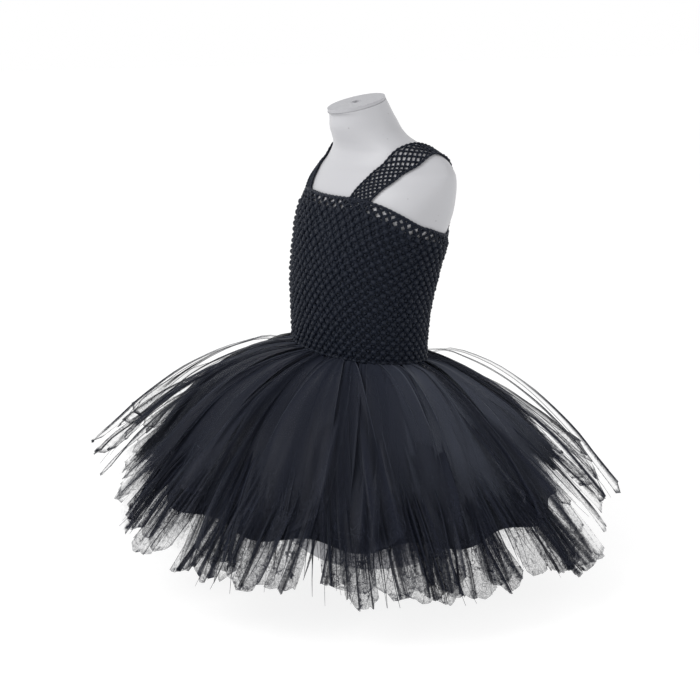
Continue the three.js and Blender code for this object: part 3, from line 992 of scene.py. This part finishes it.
def in_fan(bearing):
    return any(low < wrapped(bearing) < high for low, high in FAN_WINDOWS)


def around(draw, count, spread=0.6):
    """Bearings in degrees all round, a little uneven."""
    return (np.arange(count) + draw.uniform(-spread, spread, count)) * 360 / count


def either_way(draw, **limits):
    """A random value from -limit to limit for each name."""
    return {name: draw.uniform(-limit, limit) for name, limit in limits.items()}


def build_body(draw):
    """The thick of the skirt: many strips that end short of the sheer hem."""
    strips = []
    for bearing in around(draw, 120):
        weight = draw.uniform(0.05, 1.0)
        strips.append(panel(
            draw, bearing, ("lower", "crown", weight),
            reach=draw.uniform(0.72, 0.90) + value_at(BODY_EXTRA, bearing),
            tip=draw.uniform(50, 95), cut=330, folds=int(draw.integers(1, 4)),
            **either_way(draw, roll=28, sway=7), crumple=0.25, ragged=0.05, fade=0.25,
            line=0.3, edge=0.9 if weight > 0.7 else 0.2,
            # Painted light on the side of the skirt that light shows through, plus a lightness that
            # differs at random.
            tone_and_painted_side_light=value_at(PAINTED_SIDE_LIGHT, bearing) + draw.uniform(0, 0.12)))
    tulle_piece("tulle_body_strips", strips, ["tulle_upper"])


def build_hem(draw):
    """Long strips that reach the hem, where the net is sheer."""
    strips = []
    for bearing in around(draw, 96, spread=0.3):
        fan = in_fan(bearing)
        if fan and draw.uniform(0, 1) < 0.45:
            continue
        folds = int(draw.integers(0, 2) if fan else draw.integers(5, 10))
        reach = value_at(HEM_REACH, bearing) - draw.uniform(0, 0.035)
        strips.append(panel(
            draw, bearing, ("lower", "upper", draw.uniform(0.0, 0.5) ** 1.5), reach=reach,
            tip=draw.uniform(24, 56), cut=FAN_CUT if fan else value_at(NET_CUT, bearing),
            folds=folds, **either_way(draw, roll=25, sway=8), crumple=0.8, line=0.95,
            edge=0.25 if fan else 0.7, ragged=0.012, slant=0.02, rows=24))
    tulle_piece("tulle_hem_strips", strips, ["tulle_lower"])


def build_spikes(draw):
    """Strips folded into dark points, down through the sheer hem: narrow ones, then wide ones."""
    strips = []
    for bearing in around(draw, 360):
        if in_fan(bearing) and draw.uniform(0, 1) < 0.85:
            continue
        reach = value_at(DARK_REACH, bearing) + draw.uniform(-0.12, 0.13)
        strips.append(spike(
            draw, bearing, ("lower", "crown", draw.uniform(0.0, 1.0) ** 2 * 0.7),
            reach=min(0.99, reach), width=draw.uniform(1.0, 1.8) ** 2,
            **either_way(draw, roll=40, sway=7, curl=8), cover=draw.uniform(0.8, 1.0), tone_and_painted_side_light=0.1))
    for bearing in around(draw, 250):
        if in_fan(bearing) and draw.uniform(0, 1) < 0.75:
            continue
        reach = value_at(DARK_REACH, bearing) - draw.uniform(0.0, 0.18)
        strips.append(spike(
            draw, bearing, ("lower", "crown", draw.uniform(0.0, 0.5)), reach=reach,
            width=draw.uniform(4, 10), **either_way(draw, roll=45, sway=6, curl=5),
            cover=draw.uniform(0.7, 0.95),
            # Painted light on the side of the skirt that light shows through, plus a lightness that
            # differs at random.
            tone_and_painted_side_light=0.4 * value_at(PAINTED_SIDE_LIGHT, bearing) + draw.uniform(0, 0.12)))
    tulle_piece("tulle_folded_strips", strips, [])


def build_fans(draw):
    """Sheer strips that stand off over the thick of the skirt, most of them in the windows."""
    strips = []
    for low, high in FAN_WINDOWS:
        strips += [panel(
            draw, bearing, ("upper", "fan", draw.uniform(-0.7, 1.0)),
            reach=draw.uniform(0.82, 1.0), tip=draw.uniform(10, 30), cut=20,
            folds=int(draw.integers(0, 3)), root=2, **either_way(draw, roll=40, sway=5),
            line=0.85, edge=0.85, slant=0.12, hem=0.7)
            for bearing in np.linspace(low + 4, high - 4, 7) + draw.uniform(-3, 3, 7)]
        strips += [spike(
            draw, bearing, ("upper", "fan", draw.uniform(-0.7, 1.05)),
            reach=draw.uniform(0.84, 1.0), width=draw.uniform(1.0, 2.0),
            **either_way(draw, roll=40, sway=7, curl=9), cover=1.0)
            for bearing in np.linspace(low, high, 10) + draw.uniform(-3, 3, 10)]
    strips += [panel(
        draw, bearing, ("crown", "upper", draw.uniform(0.2, 1.0)), reach=draw.uniform(0.8, 1.0),
        tip=draw.uniform(20, 50), cut=30, folds=int(draw.integers(1, 4)), root=4,
        **either_way(draw, roll=35, sway=6), line=0.9, edge=0.7, slant=0.08)
        for bearing in around(draw, 24) if not in_fan(bearing)]
    tulle_piece("tulle_fan_strips", strips, [])


LOOSE_ROWS = [  # bearing, radius of the end, lift of the middle, width of the end
    (-139, 290, 10, 30), (-121, 302, 16, 36), (-103, 285, 10, 30),
    (40, 288, 12, 34), (58, 305, 26, 40), (76, 292, 14, 32),
]
LOOSE_ROOT = 81  # the radius where a loose strip leaves the others
LOOSE_TIP_LIFT = 16
LOOSE_FALL = 0.9  # how steeply it falls past the upper layer's end
LOOSE_CLEAR = 1.7  # how far it lies over that layer
UPPER_END = PROFILE_STATIONS["upper"][-1][0]


def loose_profile(reach, lift):
    """The line of a loose strip: the upper layer's, raised as a bow and at its end."""
    t = np.linspace(0, 1, 9)
    upper = Table(STATION, PROFILE_STATIONS["upper"])
    radius = LOOSE_ROOT + (reach - LOOSE_ROOT) * t
    height = (upper.at(np.minimum(radius, UPPER_END))["height"]
              + lift * np.sin(math.pi * t ** 0.7) + LOOSE_TIP_LIFT * t
              - np.maximum(radius - UPPER_END, 0) * LOOSE_FALL + LOOSE_CLEAR)
    rounding = ramp(radius, WAIST_RADIUS, WAIST_RADIUS + 100)
    return np.column_stack([radius, height, np.full_like(t, -0.1), rounding])


def build_loose(draw):
    """Single strips that stand off at both sides."""
    for k, (bearing, reach, lift, tip) in enumerate(LOOSE_ROWS):
        name = f"loose_{k + 1}"
        PROFILES[name] = by_share(loose_profile(reach, lift))
        one = panel(draw, bearing, (name, name, 0.0), reach=1.0, tip=tip, cut=14, folds=1, root=3,
                    roll=12, crumple=0.3, line=1.0, edge=1.0, slant=0.09, hem=0.9, crease=1.2)
        tulle_piece(f"tulle_loose_{k + 1}", [one], [f"loose_strip_{k + 1}"])


build_skirt_lining()
random_draw = np.random.default_rng(7)
build_body(random_draw)
build_hem(random_draw)
build_spikes(random_draw)
build_fans(random_draw)
build_loose(random_draw)

# ---- studio

LIGHT_TARGET = Vector((0, 0, 0.3))
HORIZON_TOP, OVERHEAD = 0.4, 0.75  # heights of the sky between which it dims
CEILING = 0.45  # the light from overhead, where that from the horizon is 1
FLOOR_HALF = 12
FLOOR_COLOUR = (0.22, 0.22, 0.22)
FLOOR_GLOW = 0.84


def area_light(name, bearing, elevation, distance, size, power):
    data = bpy.data.lights.new(name, "AREA")
    data.energy = power
    data.size = size
    add_looking(name, data, LIGHT_TARGET, bearing, elevation, distance)


def build_sky():
    """Pale all round and below, and dimmer overhead."""
    world = bpy.data.worlds.new("studio")
    world.use_nodes = True
    nodes = Nodes(world.node_tree)
    place = nodes.add("TexCoord").outputs["Generated"]
    height = nodes.add("SeparateXYZ", Vector=place).outputs["Z"]
    light = nodes.span(height, HORIZON_TOP, OVERHEAD, to_low=1.0, to_high=CEILING)
    nodes.put(nodes.tree.nodes["Background"], Strength=light, Color=(1, 1, 1, 1))
    SCENE.world = world


def build_floor():
    """A white floor, which glows to be as pale as the sky."""
    mesh = bpy.data.meshes.new("floor")
    corners = [(x * FLOOR_HALF, y * FLOOR_HALF, 0) for x, y in ((-1, -1), (1, -1), (1, 1), (-1, 1))]
    mesh.from_pydata(corners, [], [(0, 1, 2, 3)])
    look = Look("floor_white", FLOOR_COLOUR, roughness=0.9, Emission_Color=(1, 1, 1, 1),
                Emission_Strength=FLOOR_GLOW)
    mesh.materials.append(look.material)
    floor = bpy.data.objects.new("floor", mesh)
    SCENE.collection.objects.link(floor)


SCENE.view_settings.view_transform = "Standard"
build_sky()
area_light("key", bearing=-95, elevation=42, distance=2.2, size=1.2, power=26)
area_light("fill", bearing=30, elevation=40, distance=2.4, size=1.4, power=6)
build_floor()
